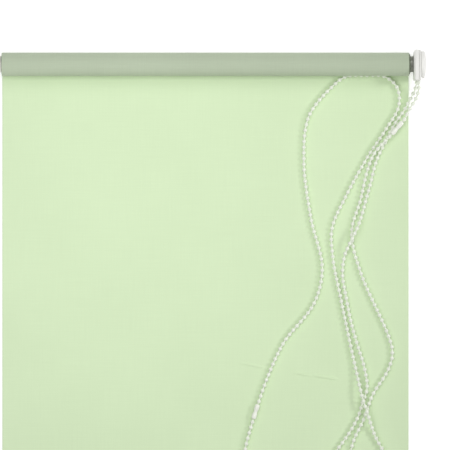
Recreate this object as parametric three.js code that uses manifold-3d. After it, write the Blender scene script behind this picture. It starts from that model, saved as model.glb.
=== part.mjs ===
// A chain-operated roller blind, lying on its back with part of its sheet unrolled.
// Millimetres, +Z up. X runs along the roller, and the chain clutch is at the +X end.
// The sheet leaves the underside of the roll and runs towards -Y, down to the bottom bar.
// Inside, x = 0 is the chain wheel's middle plane, y = 0 is the roller's axis and z = 0 is the surface
// that the blind lies on. The group is moved at the end, so that its origin is the middle of the base.

import * as THREE from "three";
import { mergeVertices } from "three/addons/utils/BufferGeometryUtils.js";
import Module from "manifold-3d";

const wasm = await Module();
wasm.setup();

// ---- Driving dimensions ----

const CLEARANCE = 0.3; // between pieces that touch, seat or run in each other

const SHEET_WIDTH = 430;
const SHEET_THICKNESS = 0.35;
const SHEET_DROP = 746; // unrolled length, from the roller's axis to the bottom bar
const SHEET_WOUND = 754; // length still wound on the tube
const SHEET_SETTLING = 60; // distance in which the sheet comes down to the surface
const SHEET_RISE = 40; // distance in which it rises again into the bottom bar

const TUBE_RADIUS = 8.5;
const TUBE_WALL = 0.8;
const TUBE_SHOWING = 4.5; // bare tube between the sheet's edge and the clutch
const TAPE_THICKNESS = 0.2;
const TAPE_WIDTH = 10;

const BEAD_RADIUS = 2.25;
const BEAD_PITCH = 6;
const CHAIN_STRING_RADIUS = 0.6;
const CONNECTOR_RADIUS = 2.8;
const CONNECTOR_END_RADIUS = 2.2;
const CONNECTOR_TAPER = 2;

const WHEEL_POCKETS = 10;
const WHEEL_WIDTH = 5.4;
const WHEEL_LIP = 1.1; // the rim's reach past the beads' centres
const HUB_RADIUS = 6.2;
const HUB_LENGTH = 11.3;
const DRIVER_LENGTH = 15;
const DRIVER_WALL = 1.1;

const CORE_RADIUS = 3.6;
const CORE_FLANGE_RADIUS = 9;
const CORE_FLANGE_THICKNESS = 1.5;

const GUARD_ROOM = 1.9; // between the beads on the wheel and the guard
const GUARD_WALL = 1.6;
const GUARD_SIDE_WALL = 0.8;
const GUARD_REACH = 17; // from the axis to the chain mouth
const GUARD_CHAMFER = 2.6;
const GUARD_CHAMFER_WIDTH = 1.7;

const CAP_RADIUS = 14;
const CAP_WALL = 1.5;
const CAP_STRAIGHT = 2.6;
const CAP_DOME = 2.7;
const CAP_FLAT_RADIUS = 6;
const SOCKET_SIZE = 5;
const SOCKET_DEPTH = 2.8;
const LATCH_WIDTH = 5;
const LATCH_LENGTH = 2.2;
const LATCH_REACH = 1;

const ADAPTER_LENGTH = 27;
const ADAPTER_WALL = 0.8;
const ADAPTER_RIB = 0.5;
const ADAPTER_RIBS = 6;
const END_WALL = 1.5;

const SPRING_WIRE = 0.45; // radius
const BRAKE_SPRING_TURNS = 4;
const BRAKE_SPRING_PITCH = 1.35;
const CLIP_THICKNESS = 0.6;
const CLIP_GROOVE_DEPTH = 1.2;

const PLUG_LENGTH = 24;
const PLUG_FLANGE = 2;
const BUSH_RADIUS = 4.7;
const BUSH_HEAD_RADIUS = 6.5;
const BUSH_HEAD = 1.5;
const PIN_RADIUS = 2;
const PIN_SHOULDER_RADIUS = 2.5;
const PIN_SHOULDER_LENGTH = 4;
const PIN_REACH = 7; // past the bush's head
const PIN_SPRING_TURNS = 7;
const PIN_SPRING_WIRE = 0.36; // radius
const SPRING_SEAT_LENGTH = 2;

const BAR_HEIGHT = 22;
const BAR_THICKNESS = 8;
const BAR_CORNER = 3.4;
const BAR_WALL = 1.2;
const BAR_LIP = 1.6; // wall between the bar's upper edge and its round channel
const BAR_CAP_THICKNESS = 1.5;
const BAR_CAP_PLUG = 10;
const SPLINE_RADIUS = 1.6;

// ---- Sizes and places that follow from them ----

const rollRadius = Math.sqrt(TUBE_RADIUS ** 2 + (SHEET_WOUND * SHEET_THICKNESS) / Math.PI);
const wheelPitchRadius = BEAD_PITCH / (2 * Math.sin(Math.PI / WHEEL_POCKETS));
const guardBore = wheelPitchRadius + BEAD_RADIUS + GUARD_ROOM;
const guardRadius = guardBore + GUARD_WALL;
const underRoll = rollRadius + SHEET_THICKNESS + 2 * CLEARANCE;
const axisHeight = Math.max(guardRadius, underRoll);

const cavityHalf = WHEEL_WIDTH / 2 + CLEARANCE;
const guardHalf = cavityHalf + GUARD_SIDE_WALL;
const guardSplit = guardHalf / 2;
const tubeRight = -guardHalf - CLEARANCE;
const sheetRight = tubeRight - TUBE_SHOWING;
const sheetLeft = sheetRight - SHEET_WIDTH;
const tubeLeft = sheetLeft;
const tubeBore = TUBE_RADIUS - TUBE_WALL;
const insertRadius = tubeBore - CLEARANCE;

const sheetFront = -SHEET_DROP;
const barBack = sheetFront - 2 * CLEARANCE;
const barFront = barBack - BAR_HEIGHT;
const barMiddle = BAR_THICKNESS / 2;

// ---- Materials ----

const plastic = (color) => new THREE.MeshStandardMaterial({ color, roughness: 0.45, metalness: 0 });
const metal = (color, roughness) => new THREE.MeshStandardMaterial({ color, roughness, metalness: 0.9 });
const cloth = (color) => new THREE.MeshStandardMaterial({ color, roughness: 0.95, metalness: 0 });

const WHITE = "#dededa";
const CHAIN_WHITE = "#eef1ea";
const SHEET_GREEN = "#d5e8c0";
const ROLL_GREEN = "#b9c6ac";
const TUBE_GREY = "#a3a59f";
const SPRING_GREY = "#8c8d8c";

// ---- Solids ----

// A closed mesh as a solid, with its faces turned outwards.
function solid(geometry) {
  const bare = geometry.index ? geometry.toNonIndexed() : geometry.clone();
  bare.deleteAttribute("normal");
  bare.deleteAttribute("uv");
  const merged = mergeVertices(bare, 1e-4);
  const corners = merged.index.array;
  const triangles = [];
  for (let i = 0; i < corners.length; i += 3) {
    const [a, b, c] = [corners[i], corners[i + 1], corners[i + 2]];
    if (a !== b && b !== c && c !== a) triangles.push([a, b, c]);
  }
  const build = (list) =>
    new wasm.Manifold(
      new wasm.Mesh({
        numProp: 3,
        vertProperties: merged.attributes.position.array,
        triVerts: Uint32Array.from(list.flat()),
      }),
    );
  const made = build(triangles);
  return made.volume() < 0 ? build(triangles.map(([a, b, c]) => [a, c, b])) : made;
}

// A solid of revolution round the roller's axis, from [x, radius] points.
// The profile starts and ends on the axis.
function turned(profile, segments = 32) {
  const points = profile.map(([x, radius]) => new THREE.Vector2(radius, x));
  const lathe = new THREE.LatheGeometry(points, segments);
  lathe.rotateZ(-Math.PI / 2);
  lathe.translate(0, 0, axisHeight);
  return solid(lathe);
}

// A solid with a hole along the roller's axis: its profile closes on itself.
function turnedRing(profile, segments = 32) {
  return turned([...profile, profile[0]], segments);
}

function ring(x0, x1, inner, outer, segments = 32) {
  return turnedRing([[x0, inner], [x0, outer], [x1, outer], [x1, inner]], segments);
}

// A rod along the roller's axis.
function rod(x0, x1, radius, segments = 32) {
  return turned([[x0, 0], [x0, radius], [x1, radius], [x1, 0]], segments);
}

// Turns a shape drawn in its own x and y into one in y and z, drawn out along X.
const alongX = new THREE.Matrix4().makeBasis(
  new THREE.Vector3(0, 1, 0),
  new THREE.Vector3(0, 0, 1),
  new THREE.Vector3(1, 0, 0),
);

// A shape in y and z, drawn out along X.
function prism(shape, x0, x1, curveSegments = 12) {
  const drawn = new THREE.ExtrudeGeometry(shape, { depth: x1 - x0, bevelEnabled: false, curveSegments });
  drawn.applyMatrix4(alongX);
  drawn.translate(x0, 0, 0);
  return solid(drawn);
}

function block(x0, x1, y0, y1, z0, z1) {
  const box = new THREE.BoxGeometry(x1 - x0, y1 - y0, z1 - z0);
  box.translate((x0 + x1) / 2, (y0 + y1) / 2, (z0 + z1) / 2);
  return solid(box);
}

function outline(points) {
  return new THREE.Shape(points.map(([y, z]) => new THREE.Vector2(y, z)));
}

// A rounded rectangle in y and z.
function roundedRectangle(y0, y1, z0, z1, corner) {
  const shape = new THREE.Shape();
  shape.moveTo(y0 + corner, z0);
  shape.lineTo(y1 - corner, z0);
  shape.absarc(y1 - corner, z0 + corner, corner, -Math.PI / 2, 0);
  shape.lineTo(y1, z1 - corner);
  shape.absarc(y1 - corner, z1 - corner, corner, 0, Math.PI / 2);
  shape.lineTo(y0 + corner, z1);
  shape.absarc(y0 + corner, z1 - corner, corner, Math.PI / 2, Math.PI);
  shape.lineTo(y0, z0 + corner);
  shape.absarc(y0 + corner, z0 + corner, corner, Math.PI, 1.5 * Math.PI);
  return shape;
}

// A sector of a ring round the axis, from one angle to another, counted from +Y towards +Z.
function sector(inner, outer, from, to) {
  const shape = new THREE.Shape();
  shape.absarc(0, axisHeight, outer, from, to, false);
  shape.absarc(0, axisHeight, inner, to, from, true);
  return shape;
}

// A helical wire round the roller's axis.
function helix(x0, x1, radius, turns, wire) {
  class Coil extends THREE.Curve {
    getPoint(t, target = new THREE.Vector3()) {
      const angle = 2 * Math.PI * turns * t;
      const x = x0 + (x1 - x0) * t;
      return target.set(x, radius * Math.cos(angle), axisHeight + radius * Math.sin(angle));
    }
  }
  const stepsPerTurn = 12;
  return tube(new Coil(), wire, Math.round(turns * stepsPerTurn), 6);
}

// A tube along a curve, with flat closed ends.
function tube(curve, radius, steps, sides) {
  const section = new THREE.Shape();
  for (let i = 0; i < sides; i++) {
    const angle = (2 * Math.PI * i) / sides;
    const point = [radius * Math.cos(angle), radius * Math.sin(angle)];
    if (i === 0) section.moveTo(...point);
    else section.lineTo(...point);
  }
  return solid(new THREE.ExtrudeGeometry(section, { steps, extrudePath: curve, bevelEnabled: false }));
}

// A bead centred at an angle round the axis, counted from +Y towards +Z.
function bead(angle, distance, radius) {
  const ball = new THREE.SphereGeometry(radius, 10, 8);
  ball.translate(0, distance * Math.cos(angle), axisHeight + distance * Math.sin(angle));
  return solid(ball);
}

// ---- The assembly ----

const group = new THREE.Group();

function addPiece(name, made, material) {
  const { vertProperties, triVerts } = made.getMesh();
  const indexed = new THREE.BufferGeometry();
  indexed.setAttribute("position", new THREE.BufferAttribute(vertProperties, 3));
  indexed.setIndex(new THREE.BufferAttribute(triVerts, 1));
  const geometry = indexed.toNonIndexed();
  geometry.computeVertexNormals();
  const mesh = new THREE.Mesh(geometry, material);
  mesh.name = name;
  group.add(mesh);
}

// ---- Roller tube, wound sheet and the tape between them ----

const tapeAngle = TAPE_WIDTH / TUBE_RADIUS;
const rollBore = TUBE_RADIUS + CLEARANCE;
const recessAngle = tapeAngle + (2 * CLEARANCE) / TUBE_RADIUS;

function rollerTube() {
  return ring(tubeLeft, tubeRight, tubeBore, TUBE_RADIUS);
}

function fabricTape() {
  const strip = sector(rollBore, rollBore + TAPE_THICKNESS, -tapeAngle / 2, tapeAngle / 2);
  return prism(strip, sheetLeft, sheetRight);
}

function fabricRoll() {
  const wound = ring(sheetLeft, sheetRight, rollBore, rollRadius, 48);
  const overrun = 1;
  const recess = prism(
    sector(rollBore - overrun, rollBore + TAPE_THICKNESS + CLEARANCE, -recessAngle / 2, recessAngle / 2),
    sheetLeft - overrun,
    sheetRight + overrun,
  );
  return wound.subtract(recess);
}

addPiece("roller_tube", rollerTube(), metal(TUBE_GREY, 0.35));
addPiece("fabric_tape", fabricTape(), plastic("#e9e9e4"));
addPiece("fabric_roll", fabricRoll(), cloth(ROLL_GREEN));

// ---- Unrolled sheet ----

const ease = (t) => t * t * (3 - 2 * t);

// The height of the sheet's underside at a distance in front of the axis.
function sheetHeight(distance) {
  const start = axisHeight - rollRadius - CLEARANCE - SHEET_THICKNESS;
  const end = barMiddle - SHEET_THICKNESS / 2;
  if (distance < SHEET_SETTLING) return start * (1 - ease(distance / SHEET_SETTLING));
  const rising = distance - (SHEET_DROP - SHEET_RISE);
  return rising > 0 ? end * ease(rising / SHEET_RISE) : 0;
}

function fabricSheet() {
  const steps = 10;
  const distances = [];
  for (let i = 0; i <= steps; i++) distances.push((SHEET_SETTLING * i) / steps);
  for (let i = 0; i <= steps; i++) distances.push(SHEET_DROP - SHEET_RISE + (SHEET_RISE * i) / steps);
  const under = distances.map((d) => [-d, sheetHeight(d)]);
  const over = distances.map((d) => [-d, sheetHeight(d) + SHEET_THICKNESS]).reverse();
  return prism(outline([...under, ...over]), sheetLeft, sheetRight);
}

addPiece("fabric_sheet", fabricSheet(), cloth(SHEET_GREEN));

// ---- Bottom bar: aluminium section, hem and spline in its round channel, and an end cap each side ----

const hemOuter = SPLINE_RADIUS + CLEARANCE + SHEET_THICKNESS;
const channelRadius = hemOuter + CLEARANCE;
const channelY = barBack - BAR_LIP - channelRadius;
const slotHalf = SHEET_THICKNESS / 2 + CLEARANCE;
const barLeft = sheetLeft + BAR_CAP_THICKNESS + CLEARANCE;
const barRight = sheetRight - BAR_CAP_THICKNESS - CLEARANCE;
const chamber = {
  back: channelY - channelRadius - BAR_WALL,
  front: barFront + BAR_WALL,
  bottom: BAR_WALL,
  top: BAR_THICKNESS - BAR_WALL,
};

function barOutline() {
  return roundedRectangle(barFront, barBack, 0, BAR_THICKNESS, BAR_CORNER);
}

function channelCylinder(radius, x0, x1) {
  const shape = new THREE.Shape();
  shape.absarc(channelY, barMiddle, radius, 0, 2 * Math.PI);
  return prism(shape, x0, x1, 10);
}

function bottomBar() {
  const overrun = 1;
  const [x0, x1] = [barLeft - overrun, barRight + overrun];
  return prism(barOutline(), barLeft, barRight, 5)
    .subtract(channelCylinder(channelRadius, x0, x1))
    .subtract(block(x0, x1, channelY, barBack + overrun, barMiddle - slotHalf, barMiddle + slotHalf))
    .subtract(block(x0, x1, chamber.front, chamber.back, chamber.bottom, chamber.top));
}

function fabricHem() {
  const stem = block(
    barLeft,
    barRight,
    channelY + hemOuter - SHEET_THICKNESS / 2,
    sheetFront - CLEARANCE,
    barMiddle - SHEET_THICKNESS / 2,
    barMiddle + SHEET_THICKNESS / 2,
  );
  const overrun = 1;
  const bore = channelCylinder(SPLINE_RADIUS + CLEARANCE, barLeft - overrun, barRight + overrun);
  return channelCylinder(hemOuter, barLeft, barRight).add(stem).subtract(bore);
}

// side is -1 for the left end and 1 for the right end.
function barCap(side) {
  const inner = side < 0 ? barLeft - CLEARANCE : barRight + CLEARANCE;
  const outer = inner + side * BAR_CAP_THICKNESS;
  const plugEnd = inner - side * BAR_CAP_PLUG;
  const plate = prism(barOutline(), Math.min(inner, outer), Math.max(inner, outer), 5);
  const plug = block(
    Math.min(plugEnd, outer),
    Math.max(plugEnd, outer),
    chamber.front + CLEARANCE,
    chamber.back - CLEARANCE,
    chamber.bottom + CLEARANCE,
    chamber.top - CLEARANCE,
  );
  return plate.add(plug);
}

addPiece("bottom_bar", bottomBar(), metal("#d9dbd8", 0.4));
addPiece("fabric_hem", fabricHem(), cloth(SHEET_GREEN));
addPiece("bottom_bar_spline", channelCylinder(SPLINE_RADIUS, barLeft, barRight), plastic("#e6e6e2"));
addPiece("bottom_bar_cap_left", barCap(-1), plastic(WHITE));
addPiece("bottom_bar_cap_right", barCap(1), plastic(WHITE));

// ---- Clutch core: the fixed spindle that the wheel turns on, with its retaining clip ----

const hubLeft = -WHEEL_WIDTH / 2 - HUB_LENGTH;
const driverLeft = hubLeft - DRIVER_LENGTH;
const adapterRight = tubeRight - CLEARANCE;
const adapterLeft = adapterRight - ADAPTER_LENGTH;
const clipRight = adapterLeft - CLEARANCE;
const clipLeft = clipRight - CLIP_THICKNESS;
const coreLeft = clipLeft - CLEARANCE - END_WALL;
const flangeLeft = guardHalf + CLEARANCE;
const flangeRight = flangeLeft + CORE_FLANGE_THICKNESS;
const runningBore = CORE_RADIUS + CLEARANCE;

// A shaft's profile from its left end to the right side of a clip groove.
function grooved(left, grooveLeft, grooveRight, radius) {
  const bottom = radius - CLIP_GROOVE_DEPTH;
  return [[left, 0], [left, radius], [grooveLeft, radius], [grooveLeft, bottom], [grooveRight, bottom],
    [grooveRight, radius]];
}

// A split ring that sits in a clip groove.
function clip(x0, x1, shaftRadius) {
  const inner = shaftRadius - CLIP_GROOVE_DEPTH + CLEARANCE;
  const gap = Math.PI / 7;
  return prism(sector(inner, shaftRadius + CLIP_GROOVE_DEPTH, gap, 2 * Math.PI - gap), x0, x1, 20);
}

function clutchCore() {
  return turned([
    ...grooved(coreLeft, clipLeft - CLEARANCE, clipRight + CLEARANCE, CORE_RADIUS),
    [flangeLeft, CORE_RADIUS],
    [flangeLeft, CORE_FLANGE_RADIUS],
    [flangeRight, CORE_FLANGE_RADIUS],
    [flangeRight, 0],
  ]);
}

addPiece("clutch_core", clutchCore(), plastic(WHITE));
addPiece("core_retainer_clip", clip(clipLeft, clipRight, CORE_RADIUS), metal(SPRING_GREY, 0.4));

// ---- Chain wheel: ten pockets, a hub through the guard and a driver finger inside the tube ----

const wheelRadius = wheelPitchRadius + WHEEL_LIP;
const beadStep = (2 * Math.PI) / WHEEL_POCKETS;
const driverAngle = Math.PI * 0.6;

function chainWheel() {
  const half = WHEEL_WIDTH / 2;
  const groove = CHAIN_STRING_RADIUS + CLEARANCE;
  const grooveBottom = wheelPitchRadius - groove;
  let wheel = turnedRing([
    [hubLeft, runningBore],
    [hubLeft, HUB_RADIUS],
    [-half, HUB_RADIUS],
    [-half, wheelRadius],
    [-groove, wheelRadius],
    [-groove, grooveBottom],
    [groove, grooveBottom],
    [groove, wheelRadius],
    [half, wheelRadius],
    [half, runningBore],
  ]);
  for (let i = 0; i < WHEEL_POCKETS; i++) {
    wheel = wheel.subtract(bead(i * beadStep, wheelPitchRadius, BEAD_RADIUS + CLEARANCE));
  }
  const from = Math.PI - driverAngle / 2;
  const driver = sector(HUB_RADIUS - DRIVER_WALL, HUB_RADIUS, from, from + driverAngle);
  return wheel.add(prism(driver, driverLeft, hubLeft + END_WALL));
}

// The beads that lie in the wheel's pockets on the side away from the mouth, and their string.
function chainOnWheel() {
  const beadsEachSide = Math.floor(Math.PI / 2 / beadStep);
  const reach = Math.PI / 2;
  const inner = wheelPitchRadius - CHAIN_STRING_RADIUS;
  const outer = wheelPitchRadius + CHAIN_STRING_RADIUS;
  let chain = prism(sector(inner, outer, -reach, reach), -CHAIN_STRING_RADIUS, CHAIN_STRING_RADIUS);
  for (let i = -beadsEachSide; i <= beadsEachSide; i++) {
    chain = chain.add(bead(i * beadStep, wheelPitchRadius, BEAD_RADIUS));
  }
  return chain;
}

addPiece("chain_wheel", chainWheel(), plastic(WHITE));
addPiece("chain_on_wheel", chainOnWheel(), plastic(CHAIN_WHITE));

// ---- Brake springs: two coils that grip the core until the wheel turns them loose ----

const springRadius = CORE_RADIUS + CLEARANCE + SPRING_WIRE;
const springLength = BRAKE_SPRING_TURNS * BRAKE_SPRING_PITCH;
const firstSpring = adapterLeft + END_WALL + CLEARANCE + SPRING_WIRE;
const secondSpring = firstSpring + springLength + 2 * SPRING_WIRE + CLEARANCE;

[firstSpring, secondSpring].forEach((start, i) => {
  const coil = helix(start, start + springLength, springRadius, BRAKE_SPRING_TURNS, SPRING_WIRE);
  addPiece(`brake_spring_${i + 1}`, coil, metal(SPRING_GREY, 0.4));
});

// ---- Drive adapter: turns the tube, with ribs outside and a fin that the springs' ends meet ----

const adapterBore = HUB_RADIUS + CLEARANCE;
const finAngle = Math.PI * 0.25;

function driveAdapter() {
  const barrel = insertRadius - ADAPTER_RIB;
  let adapter = turnedRing([
    [adapterLeft, runningBore],
    [adapterLeft, barrel],
    [adapterRight, barrel],
    [adapterRight, adapterBore],
    [adapterLeft + END_WALL, adapterBore],
    [adapterLeft + END_WALL, runningBore],
  ]);
  const inside = (barrel - adapterBore) / 2;
  const ribAngle = (2 * ADAPTER_WALL) / insertRadius;
  for (let i = 0; i < ADAPTER_RIBS; i++) {
    const from = (2 * Math.PI * i) / ADAPTER_RIBS;
    const rib = sector(barrel - inside, insertRadius, from, from + ribAngle);
    adapter = adapter.add(prism(rib, adapterLeft + ADAPTER_WALL, adapterRight - ADAPTER_WALL, 4));
  }
  const finInner = HUB_RADIUS - DRIVER_WALL;
  const fin = sector(finInner, adapterBore + inside, -finAngle / 2, finAngle / 2);
  return adapter.add(prism(fin, adapterLeft + END_WALL / 2, hubLeft - CLEARANCE, 6));
}

addPiece("drive_adapter", driveAdapter(), plastic(WHITE));

// ---- Chain guard: two halves round the wheel, with a mouth for both strands towards -Y ----

// A half round with straight sides that run towards -Y, and a chamfer round its left edge.
function guardForm(x0, x1, radius, reach, chamferX = 0, chamferRadius = 0) {
  const half = [
    [x0, radius - chamferRadius],
    [x0 + chamferX, radius],
    [x1, radius],
  ];
  const round = turned([[x0, 0], ...half, [x1, 0]], 48);
  const mirrored = half.map(([x, z]) => [x, -z]).reverse();
  const section = outline([...half, ...mirrored]);
  const drawn = new THREE.ExtrudeGeometry(section, { depth: reach, bevelEnabled: false });
  drawn.rotateX(Math.PI / 2);
  drawn.translate(0, 0, axisHeight);
  return round.add(solid(drawn));
}

function guardInside() {
  const pastMouth = 5;
  const chamfer = GUARD_CHAMFER - GUARD_WALL;
  return guardForm(-cavityHalf, cavityHalf, guardBore, GUARD_REACH + pastMouth, GUARD_CHAMFER_WIDTH, chamfer);
}

function chainGuard() {
  const right = guardSplit - CLEARANCE / 2;
  const form = guardForm(-guardHalf, right, guardRadius, GUARD_REACH, GUARD_CHAMFER_WIDTH, GUARD_CHAMFER);
  return form
    .subtract(guardInside())
    .subtract(rod(-2 * guardHalf, 0, HUB_RADIUS + CLEARANCE));
}

function guardOuterHalf() {
  return guardForm(guardSplit + CLEARANCE / 2, guardHalf, guardRadius, GUARD_REACH)
    .subtract(guardInside())
    .subtract(rod(0, 2 * guardHalf, runningBore));
}

addPiece("chain_guard", chainGuard(), plastic(WHITE));
addPiece("chain_guard_outer_half", guardOuterHalf(), plastic(WHITE));

// ---- End cap: domed cover that carries the bracket socket, with a latch at its front edge ----

const capLeft = guardHalf + CLEARANCE;
const capShoulder = capLeft + CAP_STRAIGHT;
const capRight = capShoulder + CAP_DOME;

function endCap() {
  const domeSteps = 5;
  const dome = [];
  for (let i = 0; i <= domeSteps; i++) {
    const angle = (Math.PI / 2) * (i / domeSteps);
    dome.push([
      capShoulder + CAP_DOME * Math.sin(angle),
      CAP_FLAT_RADIUS + (CAP_RADIUS - CAP_FLAT_RADIUS) * Math.cos(angle),
    ]);
  }
  const bossRadius = CAP_FLAT_RADIUS;
  const bossLeft = flangeRight + CLEARANCE;
  const roof = capShoulder + CAP_DOME / 4;
  const cap = turned([
    [bossLeft, 0],
    [bossLeft, bossRadius],
    [roof, bossRadius],
    [roof, CAP_RADIUS - CAP_WALL - CAP_DOME / 2],
    [capShoulder - CAP_WALL / 2, CAP_RADIUS - CAP_WALL],
    [capLeft, CAP_RADIUS - CAP_WALL],
    [capLeft, CAP_RADIUS],
    ...dome,
    [capRight, 0],
  ]);
  const half = SOCKET_SIZE / 2;
  const overrun = 1;
  const socket = block(
    capRight - SOCKET_DEPTH,
    capRight + overrun,
    -half,
    half,
    axisHeight - half,
    axisHeight + half,
  );
  const latch = block(
    capShoulder - LATCH_LENGTH / 2,
    capShoulder + LATCH_LENGTH / 2,
    -CAP_RADIUS - LATCH_REACH,
    -CAP_RADIUS + CAP_WALL,
    axisHeight - LATCH_WIDTH / 2,
    axisHeight + LATCH_WIDTH / 2,
  );
  return cap.add(latch).subtract(socket);
}

addPiece("clutch_end_cap", endCap(), plastic(WHITE));

// ---- Idle end: plug in the tube, a bush that spins in it, and a sprung pin for the bracket ----

const plugFlangeRight = tubeLeft - CLEARANCE;
const plugFlangeLeft = plugFlangeRight - PLUG_FLANGE;
const plugRight = tubeLeft + PLUG_LENGTH;
const bushHeadRight = plugFlangeLeft - CLEARANCE;
const bushHeadLeft = bushHeadRight - BUSH_HEAD;
const bushClipLeft = plugRight + CLEARANCE;
const bushClipRight = bushClipLeft + CLIP_THICKNESS;
const bushRight = bushClipRight + CLEARANCE + END_WALL;
const bushBore = PIN_SHOULDER_RADIUS + CLEARANCE;
const bushMouth = PIN_RADIUS + CLEARANCE;
const pinTip = bushHeadLeft - PIN_REACH;
const pinStop = bushHeadRight;
const shoulderLeft = pinStop + CLEARANCE;
const shoulderRight = shoulderLeft + PIN_SHOULDER_LENGTH;
const seatLeft = bushRight - SPRING_SEAT_LENGTH;

function idlePlug() {
  return turnedRing([
    [plugFlangeLeft, BUSH_RADIUS + CLEARANCE],
    [plugFlangeLeft, TUBE_RADIUS],
    [plugFlangeRight, TUBE_RADIUS],
    [plugFlangeRight, insertRadius],
    [plugRight, insertRadius],
    [plugRight, BUSH_RADIUS + CLEARANCE],
  ]);
}

function idleBush() {
  const grooveBottom = BUSH_RADIUS - CLIP_GROOVE_DEPTH;
  return turnedRing([
    [bushHeadLeft, bushMouth],
    [bushHeadLeft, BUSH_HEAD_RADIUS],
    [bushHeadRight, BUSH_HEAD_RADIUS],
    [bushHeadRight, BUSH_RADIUS],
    [bushClipLeft - CLEARANCE, BUSH_RADIUS],
    [bushClipLeft - CLEARANCE, grooveBottom],
    [bushClipRight + CLEARANCE, grooveBottom],
    [bushClipRight + CLEARANCE, BUSH_RADIUS],
    [bushRight, BUSH_RADIUS],
    [bushRight, bushBore],
    [pinStop, bushBore],
    [pinStop, bushMouth],
  ]);
}

function idlePin() {
  const chamfer = PIN_RADIUS / 4;
  return turned([
    [pinTip, 0],
    [pinTip, PIN_RADIUS - chamfer],
    [pinTip + chamfer, PIN_RADIUS],
    [shoulderLeft, PIN_RADIUS],
    [shoulderLeft, PIN_SHOULDER_RADIUS],
    [shoulderRight, PIN_SHOULDER_RADIUS],
    [shoulderRight, 0],
  ], 24);
}

function idleSpring() {
  const wire = PIN_SPRING_WIRE;
  const radius = PIN_SHOULDER_RADIUS - wire;
  return helix(shoulderRight + CLEARANCE + wire, seatLeft - CLEARANCE - wire, radius, PIN_SPRING_TURNS, wire);
}

addPiece("idle_plug", idlePlug(), plastic(WHITE));
addPiece("idle_bush", idleBush(), plastic(WHITE));
addPiece("idle_bush_clip", clip(bushClipLeft, bushClipRight, BUSH_RADIUS), metal(SPRING_GREY, 0.4));
addPiece("idle_pin", idlePin(), metal("#b9bab8", 0.3));
addPiece("idle_spring", idleSpring(), metal(SPRING_GREY, 0.4));
addPiece("idle_spring_seat", rod(seatLeft, bushRight, PIN_SHOULDER_RADIUS, 24), plastic(WHITE));

// ---- Chain: one endless loop of beads, as three tubes between its two connectors and the clutch ----

// From the top of the wheel, out of the mouth and down to the first connector.
const UPPER_CHAIN = [
  [0, -12.6, 22.5], [0.3, -16.5, 19.8], [1.5, -20, 16.6], [2, -24.5, 13.6], [1.5, -29.5, 11.2],
  [-0.5, -35.5, 9], [-3, -40, 7.4], [-6.5, -45, 6.4], [-9, -50, 6], [-11.2, -54.9, 6],
  [-13.3, -58.4, 6.1], [-15, -60.5, 6.2],
];

// From the first connector down the sheet and back, under the roll, and down to the second connector.
const LONG_CHAIN = [
  [-26.8, -74.2, 7.2], [-34.5, -82, 8], [-45.5, -95, 5.8], [-52.5, -113, 3.5], [-59.5, -143.5, 2.9],
  [-68, -171, 2.9], [-68, -189, 2.9], [-58, -224, 2.9], [-26, -301.5, 2.9], [-29.5, -321.5, 2.9],
  [-46.5, -349.5, 2.9], [-56.5, -376.5, 2.9], [-67.5, -400.5, 2.9], [-71.5, -436, 2.9],
  [-51.5, -471.5, 2.9], [-27, -454, 2.9], [-29, -423, 2.9], [-44, -393.5, 4], [-52, -370, 8.2],
  [-58, -351, 8.2], [-64, -324.5, 4], [-70.5, -295, 3], [-80, -249.5, 2.9], [-88.5, -206, 2.9],
  [-89.5, -173, 2.9], [-76, -141.5, 2.9], [-53.5, -100.5, 2.9], [-32.5, -68.5, 2.9], [-19, -44, 3.5],
  [-21, -24, 4.7], [-34, -12.6, 5.1], [-54.5, -11.2, 5.1], [-75, -12.6, 5.1], [-89, -23, 4.7],
  [-114, -54.5, 3.1], [-119.5, -101, 2.9], [-112, -162.5, 2.9], [-100, -215.5, 2.9],
  [-108.5, -252.5, 2.9], [-140.5, -294, 2.9], [-157.5, -330, 3], [-168, -359.5, 3.6],
];

// From the second connector, round below the crossing strands and up to the bottom of the wheel.
const LOWER_CHAIN = [
  [-173, -375.5, 3.6], [-181, -405, 3], [-184, -435, 2.9], [-181.5, -469.5, 2.9], [-173.5, -496, 2.9],
  [-157.5, -507, 2.9], [-139.5, -497.5, 2.9], [-123.5, -472, 2.9], [-107.5, -441, 2.9],
  [-87.5, -412.5, 2.9], [-70.5, -388.5, 2.9], [-61.5, -371.5, 2.9], [-57, -357.5, 2.9],
  [-52.5, -342.5, 2.9], [-55.5, -320.5, 2.9], [-63, -296, 2.9], [-70, -270.5, 2.9], [-74.5, -247.5, 2.9],
  [-78.5, -223, 3], [-76.5, -203, 4.4], [-69.5, -186.5, 8.2], [-62.5, -172, 7], [-57.5, -157.5, 4],
  [-53.5, -142.5, 3], [-48.5, -124.5, 2.9], [-45, -109.5, 2.9], [-40, -95.5, 2.9], [-33.5, -82.5, 2.9],
  [-27.5, -70.5, 2.9], [-21.5, -60.5, 3], [-13.5, -49, 3.3], [-7, -37, 3.9], [-1.6, -26, 4.3],
  [0, -18, 4.9], [0, -10.5, 5.6],
];

const CHAIN_STEP = 14; // about three bead diameters
const SHORT_STEP = 7;

function route(points) {
  return new THREE.CatmullRomCurve3(points.map((p) => new THREE.Vector3(...p)), false, "centripetal");
}

function freeChain(points, step) {
  const curve = route(points);
  return tube(curve, BEAD_RADIUS, Math.ceil(curve.getLength() / step), 8);
}

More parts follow.
